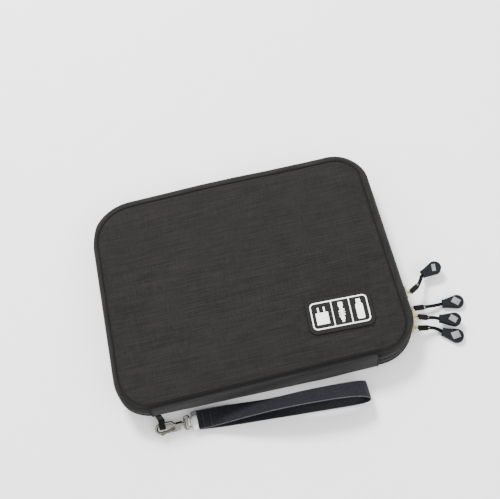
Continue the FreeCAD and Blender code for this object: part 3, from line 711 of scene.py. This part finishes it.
def flatten_under_badge(obj):
    """The glued badge holds the fabric flat beneath it."""
    low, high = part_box("badge_base")
    for v in obj.data.vertices:
        out = max(low[0] - v.co.x, v.co.x - high[0], low[1] - v.co.y, v.co.y - high[1], 0.0)
        v.co.z = lerp(low[2] + 0.1 * MM, v.co.z, smooth_between(out, 0, 9 * MM))


def flat_panel(name, z, swell, thickness, up):
    """Quiet cloth panel at height z, swelling away from it in the direction up."""
    rows = panel_rows(48)
    for row in rows:
        for p in row:
            gap = edge_share(p.x, p.y)
            lip = 1 - math.exp(-gap / (6 * MM))
            fold = noise.noise(Vector((p.x / (50 * MM), p.y / (30 * MM), z * 300)))
            p.z = z + up * swell * lip * (0.7 + 0.5 * fold)
    obj = grid_mesh(name, rows)
    add_modifier(obj, "SOLIDIFY", thickness=thickness, offset=-up)
    return obj


def build_panels():
    """Lid lining, underside of the base and the base's lining."""
    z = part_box("top_lining")[0][2]
    lid = flat_panel("lid_lining", z, 0.5 * MM, 0.8 * MM, -1)
    finish_piece(lid, LINING, "lid", ["top_lining"])
    base = flat_panel("bottom_panel", 0.0, 0.0, 1.2 * MM, -1)
    for v in base.data.vertices:
        v.co.z = max(0.0, v.co.z)
    finish_piece(base, SHELL, "bottom_cover", ["bottom_outer_fabric", "bottom_foam_pad"])
    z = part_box("bottom_lining")[1][2]
    floor = flat_panel("bottom_lining_cloth", z, 0.4 * MM, 2.6 * MM, 1)
    finish_piece(floor, LINING, "bottom_cover", ["bottom_lining"])


def fit_in_plan(obj, low, high, inset):
    """Stretches a flat panel from the seam outline to a box, less an inset."""
    for v in obj.data.vertices:
        v.co.x = lerp(low[0] + inset, high[0] - inset, (v.co.x - SEAM_X0) / (SEAM_X1 - SEAM_X0))
        v.co.y = lerp(low[1] + inset, high[1] - inset, (v.co.y - SEAM_Y0) / (SEAM_Y1 - SEAM_Y0))


def clear_slider_arc(obj, depth):
    """Draws the front right corner of a cloth in, clear of the arc that the right sliders follow."""
    cx, cy, r = outline_corners()[0]
    for v in obj.data.vertices:
        dx = v.co.x - cx
        dy = v.co.y - cy
        far = math.hypot(dx, dy)
        if dx > 0 and dy < 0 and far > r - depth:
            v.co.x = cx + dx * (r - depth) / far
            v.co.y = cy + dy * (r - depth) / far


def build_divider():
    """The divider board and the cloth on both sides of it."""
    low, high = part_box("divider_board")
    board = flat_panel("divider_core_board", high[2], 0.0, high[2] - low[2], 1)
    fit_in_plan(board, low, high, 0.9 * MM)
    finish_piece(board, BOARD, "core", ["divider_board"])
    for name, node, up in (("divider_top_cloth", "divider_lining_top", 1),
                           ("divider_under_cloth", "divider_lining_bottom", -1)):
        low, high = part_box(node)
        obj = flat_panel(name, high[2] if up > 0 else low[2], 0.35 * MM, 0.6 * MM, up)
        fit_in_plan(obj, low, high, 1.0 * MM)
        clear_slider_arc(obj, SLIDER_DEPTH)
        finish_piece(obj, LINING, "core", [node])


def spine_section(x):
    """Section of the spine from its lower to its upper seam, rounder where it meets the left wall."""
    r = lerp(EDGE_ROUND, SPINE_ROUND, smooth_between(x, spine_low[0], spine_low[0] + 30 * MM))
    y_out = spine_low[1]
    y_in = y_out + r
    z0 = spine_low[2]
    z1 = spine_high[2]
    steps = 5
    points = []
    for i in range(steps + 1):
        t = QUARTER * i / steps
        points.append((y_in - r * math.sin(t), z0 + r - r * math.cos(t)))
    for i in range(1, 9):
        t = i / 9
        points.append((y_out - 0.25 * MM * math.sin(math.pi * t), lerp(z0 + r, z1 - r, t)))
    for i in range(steps + 1):
        t = QUARTER * i / steps
        points.append((y_in - r * math.cos(t), z1 - r + r * math.sin(t)))
    return points


def build_spine():
    """Spine band along the front, with a rolled seam at each end."""
    rows = []
    count = 60
    for i in range(count + 1):
        x = lerp(spine_low[0], spine_high[0], i / count)
        row = []
        for y, z in spine_section(x):
            wobble = noise.noise(Vector((x / (30 * MM), z / (10 * MM), 9.2)))
            row.append(Vector((x, y - 0.2 * MM * max(0.0, wobble), z)))
        rows.append(row)
    obj = grid_mesh("spine_band", rows)
    add_modifier(obj, "SOLIDIFY", thickness=SPINE_THICK, offset=1.0)
    # The spine's lighter heather is painted light on the front face.
    finish_piece(obj, SPINE, "core", ["spine_panel"])
    for name, x in (("spine_seam_left", spine_low[0]), ("spine_seam_right", spine_high[0])):
        lowest = spine_low[2] + 1.0 * MM
        path = [Vector((x, y, z)) for y, z in spine_section(x) if z > lowest]
        seam = tube(name, path, PIPING_RADIUS, 6)
        # Near-black tube: painted shade of the seam groove at each end of the spine.
        finish_piece(seam, SEAM_SHADE, "core")


def build_folds():
    """Strips of seam cloth between the covers and the spine."""
    gap = 0.35 * MM
    past_end = 3.0 * MM
    strips = [
        ("lid_fold_strip", "core", "lid", spine_high[2] - gap, Z_TOP - gap,
         spine_high[1] - 1.6 * MM, SEAM_Y0 + 1.8 * MM),
        ("lower_fold_strip", "bottom_cover", "core", 0.3 * MM, spine_low[2] + gap,
         SEAM_Y0 + 1.8 * MM, spine_high[1] - 1.6 * MM),
    ]
    for name, first, second, z0, z1, y0, y1 in strips:
        rows = []
        for i in range(45):
            x = lerp(spine_low[0] - past_end, spine_high[0] + past_end, i / 44)
            rows.append([Vector((x, lerp(y0, y1, j / 10), lerp(z0, z1, j / 10))) for j in range(11)])
        obj = grid_mesh(name, rows)
        add_modifier(obj, "SOLIDIFY", thickness=0.5 * MM, offset=0.0)
        settle(obj)
        # Near-black seam colour: painted shade in the crease between cover and spine.
        obj.data.materials.append(SEAM_SHADE)
        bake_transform(obj)


def build_seams():
    """Rolled seam round the lid and the plain seam round the bottom, both near-black: painted shade of the
    seam's groove.
    """
    path = [Vector((p.x, p.y, Z_TOP - 0.1 * MM)) for p, n in seam_path()]
    lid = tube("lid_seam_roll", path, PIPING_RADIUS, 8, closed=True)
    finish_piece(lid, SEAM_SHADE, "lid", ["top_piping"])
    path = [Vector((p.x, p.y, 0.55 * MM)) for p, n in seam_path()]
    base = tube("bottom_seam_roll", path, PIPING_RADIUS, 8, closed=True)
    finish_piece(base, SEAM_SHADE, "bottom_cover")
    for name, z, body in (("lid_binding_tape", Z_TOP - TAPE_LEVEL, "lid"),
                          ("bottom_binding_tape", TAPE_LEVEL, "bottom_cover")):
        path = [Vector((p.x, p.y, z)) for p, n in seam_path(inset=0.8 * MM)]
        obj = tube(name, path, 0.9 * MM, 8, closed=True)
        finish_piece(obj, BINDING, body)


# ---------------------------------------------------------------- zips


def resample(points, pitch):
    """Evenly spaced (point, direction, normal) along a wall path."""
    found = []
    carry = 0.0
    for (a, na), (b, nb) in zip(points, points[1:]):
        run = (b - a).length
        if run < 1e-7:
            continue
        t = carry
        while t < run:
            k = t / run
            n = na.lerp(nb, k).normalized()
            found.append((a.lerp(b, k), (b - a).normalized(), n))
            t += pitch
        carry = t - run
    return found


def zip_teeth(name, zc, side, body, nodes):
    """One row of coil teeth and its tape, on one edge of a zip."""
    verts = []
    faces = []
    stations = resample(wall_path(), TOOTH_PITCH / 2)
    stations = stations[0 if side > 0 else 1::2]
    for p, d, n in stations:
        base = p - n * TOOTH_INSET * MM
        start = len(verts)
        for rise, wide, deep in TOOTH_SECTIONS:
            for sx, sy in ((-1, -1), (1, -1), (1, 1), (-1, 1)):
                q = base + d * (sx * wide * MM) + n * (sy * deep * MM)
                verts.append(Vector((q.x, q.y, zc + side * rise * MM)))
        for a in (start, start + 4):
            for j in range(4):
                k = (j + 1) % 4
                faces.append((a + j, a + k, a + 4 + k, a + 4 + j))
        faces.append(tuple(start + j for j in (3, 2, 1, 0)))
        faces.append(tuple(start + 8 + j for j in range(4)))
    teeth = new_mesh(name + "_teeth", verts, faces, smooth=False)
    finish_piece(teeth, TEETH, body)
    edge = zc + side * TAPE_WIDTH
    inner = zc + side * 0.5 * MM
    profile = [(1.0, 0.55 * MM, inner), (1.0, 0.4 * MM, lerp(inner, edge, 0.5)), (1.0, 0.3 * MM, edge)]
    tape = wall_shell(name + "_tape", profile, 0.7 * MM, 0.0)
    finish_piece(tape, TAPE, body, nodes)


def build_zips():
    """Both zips, each as two rows of teeth on two tapes."""
    zip_teeth("lower_zip_lower", ZIP_LOW, -1, "bottom_cover", ["lower_zip_bottom_half"])
    zip_teeth("lower_zip_upper", ZIP_LOW, 1, "core", ["lower_zip_top_half"])
    zip_teeth("upper_zip_lower", ZIP_HIGH, -1, "core", ["upper_zip_bottom_half"])
    zip_teeth("upper_zip_upper", ZIP_HIGH, 1, "lid", ["upper_zip_top_half"])


def stitches(name, path, body, pitch=2.6 * MM, length=1.9 * MM, radius=0.17 * MM):
    """Row of separate black stitches along a path of (point, normal)."""
    verts = []
    faces = []
    sides = 6
    for c, ahead, up in resample(path, pitch):
        side = ahead.cross(up).normalized()
        start = len(verts)
        for along, thick in STITCH_SECTIONS:
            for j in range(sides):
                w = 2 * math.pi * j / sides
                verts.append(c + ahead * (along * length) + side * (radius * thick * math.cos(w))
                             + up * (radius * thick * (math.sin(w) + 0.3)))
        for k in range(len(STITCH_SECTIONS) - 1):
            a = start + k * sides
            for j in range(sides):
                m = (j + 1) % sides
                faces.append((a + j, a + m, a + sides + m, a + sides + j))
        faces.append(tuple(start + j for j in range(sides - 1, -1, -1)))
        faces.append(tuple(a + sides + j for j in range(sides)))
    obj = new_mesh(name, verts, faces)
    finish_piece(obj, THREAD, body)


def build_wall_stitches():
    """Topstitching beside the zips."""
    for name, z, body in (("stitch_bottom_wall", Z_LOW_WALL - 1.0 * MM, "bottom_cover"),
                          ("stitch_middle_low", Z_MID0 + 1.0 * MM, "core"),
                          ("stitch_middle_high", Z_MID1 - 1.0 * MM, "core"),
                          ("stitch_lid_wall", Z_HIGH_WALL + 1.0 * MM, "lid")):
        path = [(Vector((p.x, p.y, z)) + n * 0.02 * MM, n) for p, n in wall_path()]
        stitches(name, path, body)


# ---------------------------------------------------------------- inside


def build_pockets():
    """Net pocket in the lid and slip pocket in the base, each with its binding."""
    for name, node, edge_node, body, up in (
            ("lid_net_pocket", "lid_mesh_pocket", "lid_pocket_binding", "lid", -1),
            ("base_slip_pocket", "bottom_slip_pocket", "bottom_pocket_binding", "bottom_cover", 1)):
        low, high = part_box(node)
        z = (low[2] + high[2]) / 2
        rows = []
        for i in range(37):
            x = lerp(low[0], high[0], i / 36)
            row = []
            for j in range(21):
                y = lerp(low[1], high[1], j / 20)
                inside = math.sin(math.pi * i / 36) * math.sin(math.pi * min(1, j / 14) / 2)
                uneven = 1 + 0.8 * noise.noise(Vector((x / (24 * MM), y / (18 * MM), 2.2)))
                row.append(Vector((x, y, z + up * 0.35 * MM * inside * uneven)))
            rows.append(row)
        obj = grid_mesh(name, rows)
        add_modifier(obj, "SOLIDIFY", thickness=0.5 * MM, offset=0.0)
        finish_piece(obj, NET if up < 0 else LINING, body, [node])
        bind = band_frame(name + "_binding", edge_node)
        finish_piece(bind, BINDING, body, [edge_node])


def band_frame(name, node):
    """Softly rounded tape round three sides of a pocket."""
    low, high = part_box(node)
    half = 2 * MM
    x0 = low[0] + half
    x1 = high[0] - half
    y0 = low[1] + half
    y1 = high[1]
    z = (low[2] + high[2]) / 2
    long = 6 * MM
    cut = 1.8 * MM
    plan = [(x0, y1), (x0, y0 + long), (x0 + cut, y0 + cut), (x0 + long, y0),
            (x1 - long, y0), (x1 - cut, y0 + cut), (x1, y0 + long), (x1, y1)]
    path = [Vector((x, y, z)) for x, y in plan]
    rows = []
    count = len(path)
    for i, p in enumerate(path):
        a = path[max(0, i - 1)]
        b = path[min(count - 1, i + 1)]
        ahead = (b - a).normalized()
        side = Vector((ahead.y, -ahead.x, 0))
        row = []
        for k in range(12):
            w = 2 * math.pi * k / 12
            c = squared(math.cos(w), 0.5)
            s = squared(math.sin(w), 0.8)
            row.append(p + side * (half * c) + Vector((0, 0, 1)) * (0.75 * MM * s))
        rows.append(row)
    obj = grid_mesh(name, rows, close_cols=True)
    cap_ends(obj, 12)
    return obj


def build_elastic():
    """Row of elastic loops on the divider, as one ribbed band that rises and dips."""
    low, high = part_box("elastic_cable_loops")
    count = 6
    base = low[2] + 0.5 * MM
    rise = high[2] - 0.5 * MM - base
    edge = 6 * MM
    x0 = low[0] + edge
    x1 = high[0] - edge
    pitch = (x1 - x0) / count
    rows = []
    steps = count * 16
    for i in range(steps + 1):
        x = lerp(x0, x1, i / steps)
        u = ((x - x0) / pitch) % 1.0
        z = base + rise * (1 - abs(2 * u - 1) ** 3.2) if 0 < i < steps else base
        rows.append([Vector((x, lerp(low[1], high[1], j / 8), z)) for j in range(9)])
    rows.insert(0, [Vector((low[0], p.y, base)) for p in rows[0]])
    rows.append([Vector((high[0], p.y, base)) for p in rows[-1]])
    obj = grid_mesh("elastic_loops", rows)
    add_modifier(obj, "SOLIDIFY", thickness=0.9 * MM, offset=0.0)
    finish_piece(obj, ELASTIC, "core", ["elastic_cable_loops"])
    for k in range(count + 1):
        x = x0 + pitch * k
        ys = [lerp(low[1] + 1 * MM, high[1] - 1 * MM, j / 8) for j in range(9)]
        path = [(Vector((x, y, base + 0.5 * MM)), Vector((0, 0, 1))) for y in ys]
        stitches("elastic_tack_%d" % k, path, "core", 2.2 * MM, 1.6 * MM)


# ---------------------------------------------------------------- pulls

# Route of each pull cord: in the sleeve, out past the bail, halfway, and at the mouth of the grip
ROUTES = {
    "upper_left": [(0.1293, -0.0410, 0.0151), (0.1324, -0.0386, 0.0132), (0.1357, -0.0339, 0.0111),
                   (0.1386, -0.0290, 0.0080)],
    "lower_left": [(0.1300, -0.0554, 0.0069), (0.1333, -0.0553, 0.0057), (0.1403, -0.0556, 0.0046),
                   (0.1474, -0.0550, 0.0025)],
    "upper_right": [(0.1288, -0.0670, 0.0151), (0.1317, -0.0674, 0.0133), (0.1359, -0.0672, 0.0109),
                    (0.1401, -0.0681, 0.0075)],
    "lower_right": [(0.1285, -0.0725, 0.0069), (0.1317, -0.0728, 0.0057), (0.1364, -0.0742, 0.0046),
                    (0.1401, -0.0773, 0.0025)],
}
# Which way each grip points, in degrees
GRIP_YAW = {"upper_left": 15.8, "lower_left": -5.5, "upper_right": -17.8, "lower_right": -31.9}
# Half the distance between the two strands, the cord's turn round the bail, and its end inside the grip
STRAND = 0.68 * MM
TURN = 1.4 * MM
IN_GRIP = 3.4 * MM
CORD_DIAMETER = 1.45 * MM


def build_cord(name):
    """Cord doubled through the bail: out of the grip, round the bail inside the sleeve and back."""
    inner, start, bend, mouth = [Vector(p) for p in ROUTES[name]]
    away = Vector((0, 0, 1)).cross((mouth - start).normalized()).normalized()
    yaw = math.radians(GRIP_YAW[name])
    inside = mouth + Vector((math.cos(yaw), math.sin(yaw), 0)) * IN_GRIP
    out = [p + away * STRAND for p in (inside, mouth, bend, start)]
    back = [p - away * STRAND for p in (start, bend, mouth, inside)]
    ahead = (inner - start).normalized() * TURN
    turns = [math.radians(a) for a in (90, 45, 0, -45, -90)]
    loop = [inner + ahead * math.cos(t) + away * (TURN * math.sin(t)) for t in turns]
    path = nurbs_points(out + loop + back)
    obj = tube(name + "_pull_cord", path, CORD_DIAMETER / 2, 12)
    obj.data.materials.append(CORD)
    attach(obj, name + "_pull")
    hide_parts(name + "_cord")


def nurbs_points(points):
    """Points along one smooth NURBS line through its control points."""
    curve = bpy.data.curves.new("route", "CURVE")
    curve.dimensions = "3D"
    spline = curve.splines.new("NURBS")
    spline.points.add(len(points) - 1)
    for target, p in zip(spline.points, points):
        target.co = (*p, 1)
    spline.order_u = 3
    spline.use_endpoint_u = True
    spline.resolution_u = 8
    probe = bpy.data.objects.new("route", curve)
    mesh = bpy.data.meshes.new_from_object(probe)
    found = [v.co.copy() for v in mesh.vertices]
    bpy.data.objects.remove(probe)
    bpy.data.meshes.remove(mesh)
    return found


def dress_node(node, material):
    """Material of a CAD node that stays visible."""
    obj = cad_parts[node]
    obj.data.materials.clear()
    obj.data.materials.append(material)


def build_pulls():
    """Cords of the four pulls, and the materials of their metal, sleeves, grips and labels."""
    looks = {"slider": CHROME, "bail": CHROME, "hitch": SLEEVE, "grip": GRIP, "label": LABEL}
    for name in ROUTES:
        build_cord(name)
        for part, material in looks.items():
            dress_node(name + "_" + part, material)


# ---------------------------------------------------------------- strap and hook


def b_spline(points, per_span):
    """Uniform cubic B-spline along control points, ends held by repeating them."""
    control = [points[0]] * 2 + list(points) + [points[-1]] * 2
    found = []
    for i in range(len(control) - 3):
        a, b, c, d = control[i:i + 4]
        for k in range(per_span):
            t = k / per_span
            w0 = (1 - t) ** 3 / 6
            w1 = (3 * t ** 3 - 6 * t ** 2 + 4) / 6
            w2 = (-3 * t ** 3 + 3 * t ** 2 + 3 * t + 1) / 6
            w3 = t ** 3 / 6
            found.append(a * w0 + b * w1 + c * w2 + d * w3)
    found.append(control[-1].copy())
    return found


# Strap loop from the clamp over the top and back, in millimetres: x, then the heights of its two edges
STRAP_LINE = [
    (-60.2, 5.3, 5.3), (-54.0, 5.6, 5.5), (-45.6, 8.0, 6.8), (-33.2, 13.2, 9.0), (-17.8, 18.9, 11.5),
    (0.7, 24.4, 15.5), (18.2, 27.0, 19.0), (36.7, 27.8, 20.4), (52.2, 27.0, 20.2), (62.5, 24.2, 18.4),
    (69.1, 18.2, 14.6), (71.7, 11.4, 9.6), (70.5, 5.2, 4.6), (65.0, 1.7, 1.6), (57.3, 0.8, 0.8),
    (26.4, 0.8, 0.8), (-4.4, 0.8, 0.8), (-35.3, 0.8, 0.8), (-47.6, 1.6, 1.6), (-55.9, 3.4, 3.4),
    (-60.2, 3.95, 3.95),
]
STRAP_WIDTH = 14.4 * MM
STRAP_THICK = 1.1 * MM
STRAP_YAW = math.radians(-4.5)


def strap_edges():
    """Smooth near and far edge lines of the strap loop."""
    clamp_low, clamp_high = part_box("strap_clamp")
    x_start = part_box("wrist_strap")[0][0]
    y_start = (clamp_low[1] + clamp_high[1] - STRAP_WIDTH) / 2
    near = []
    far = []
    for x, z_near, z_far in STRAP_LINE:
        y = y_start + (x * MM - x_start) * math.tan(STRAP_YAW)
        rise = (z_near - z_far) * MM
        near.append(Vector((x * MM, y, z_near * MM)))
        far.append(Vector((x * MM, y + math.sqrt(STRAP_WIDTH ** 2 - rise ** 2), z_far * MM)))
    return b_spline(near, 6), b_spline(far, 6)


def build_strap():
    """Webbing loop with a lighter selvedge and two rows of stitches by the clamp."""
    near, far = strap_edges()
    rows = []
    lifts = []
    for i, (a, b) in enumerate(zip(near, far)):
        middle = (a + b) / 2
        back = (near[max(0, i - 1)] + far[max(0, i - 1)]) / 2
        ahead = (near[min(len(near) - 1, i + 1)] + far[min(len(far) - 1, i + 1)]) / 2
        across = (b - a).normalized()
        up = (ahead - back).normalized().cross(across).normalized()
        half = (b - a).length / 2
        row = []
        for k in range(20):
            w = 2 * math.pi * k / 20
            wide = squared(math.cos(w), 0.35) * half
            rise = squared(math.sin(w), 0.6) * STRAP_THICK / 2
            row.append(middle + across * wide + up * rise)
        rows.append(row)
        lifts.append(up)
    obj = grid_mesh("wrist_strap_band", rows, close_cols=True)
    cap_ends(obj, 20)
    finish_piece(obj, WEBBING, "strap", ["wrist_strap"])
    for name, path in (("strap_selvedge_near", near), ("strap_selvedge_far", far)):
        edge = tube(name, path, 0.4 * MM, 6)
        finish_piece(edge, SELVEDGE, "strap")
    for k, along in enumerate((4.0, 10.5)):
        i = min(range(len(near) // 2), key=lambda n: abs(near[n].x - near[0].x - along * MM))
        shares = [lerp(0.07, 0.93, j / 8) for j in range(9)]
        path = [(near[i].lerp(far[i], t) + lifts[i] * STRAP_THICK * 0.5, lifts[i]) for t in shares]
        stitches("strap_tack_%d" % k, path, "strap", 1.8 * MM, 1.3 * MM, 0.22 * MM)


def build_hardware():
    """Materials of the hook, gate, swivel, clamp, tab and badge."""
    dress_node("hook_frame", HOOK)
    dress_node("hook_gate", GATE)
    dress_node("swivel_ring", HOOK)
    dress_node("strap_clamp", CLAMP)
    dress_node("strap_tab", RIBBON)
    dress_node("badge_base", BADGE)
    dress_node("badge_icons", PRINT)


# ---------------------------------------------------------------- studio


def build_studio():
    """Pale floor, even surrounding light and two soft lamps."""
    bpy.ops.mesh.primitive_plane_add(size=12, location=(0, 0, -0.0002))
    floor = bpy.context.object
    floor.name = "studio_floor"
    floor.data.materials.append(floor_material())
    world = bpy.data.worlds.new("studio_world")
    bpy.context.scene.world = world
    world.use_nodes = True
    background = world.node_tree.nodes["Background"]
    background.inputs["Color"].default_value = (1, 1, 1, 1)
    background.inputs["Strength"].default_value = 1.55
    add_area("key_light", (-0.25, 0.85, 1.3), (0, 0, 0), size=0.4, power=46)
    add_area("fill_light", (0.7, -0.9, 0.9), (0.05, -0.05, 0), size=0.9, power=13)


def add_area(name, where, target, size, power):
    """Soft square lamp aimed at a point."""
    light = bpy.data.lights.new(name, "AREA")
    light.size = size
    light.energy = power
    obj = bpy.data.objects.new(name, light)
    obj.location = where
    obj.rotation_euler = (Vector(target) - Vector(where)).to_track_quat("-Z", "Y").to_euler()
    bpy.context.scene.collection.objects.link(obj)


CAMERA_PLACE = (0.0095, -0.2804, 0.6292)
CAMERA_RIGHT = Vector((0.9714, -0.2124, -0.1060))
CAMERA_UP = Vector((0.2373, 0.8692, 0.4337))


def build_camera():
    """View from in front and steeply above, the picture turned in its own plane."""
    camera = bpy.data.cameras.new("camera")
    camera.lens = 60
    camera.sensor_width = 36
    camera.clip_start = 0.01
    obj = bpy.data.objects.new("camera", camera)
    back = CAMERA_RIGHT.cross(CAMERA_UP).normalized()
    up = back.cross(CAMERA_RIGHT).normalized()
    rotation = Matrix((CAMERA_RIGHT, up, back)).transposed()
    obj.matrix_world = Matrix.Translation(CAMERA_PLACE) @ rotation.to_4x4()
    bpy.context.scene.collection.objects.link(obj)
    bpy.context.scene.camera = obj


build_camera()
build_studio()
build_pulls()
build_lid_panel()
build_panels()
build_walls()
build_divider()
build_spine()
build_folds()
build_seams()
build_zips()
build_wall_stitches()
build_pockets()
build_elastic()
build_strap()
build_hardware()
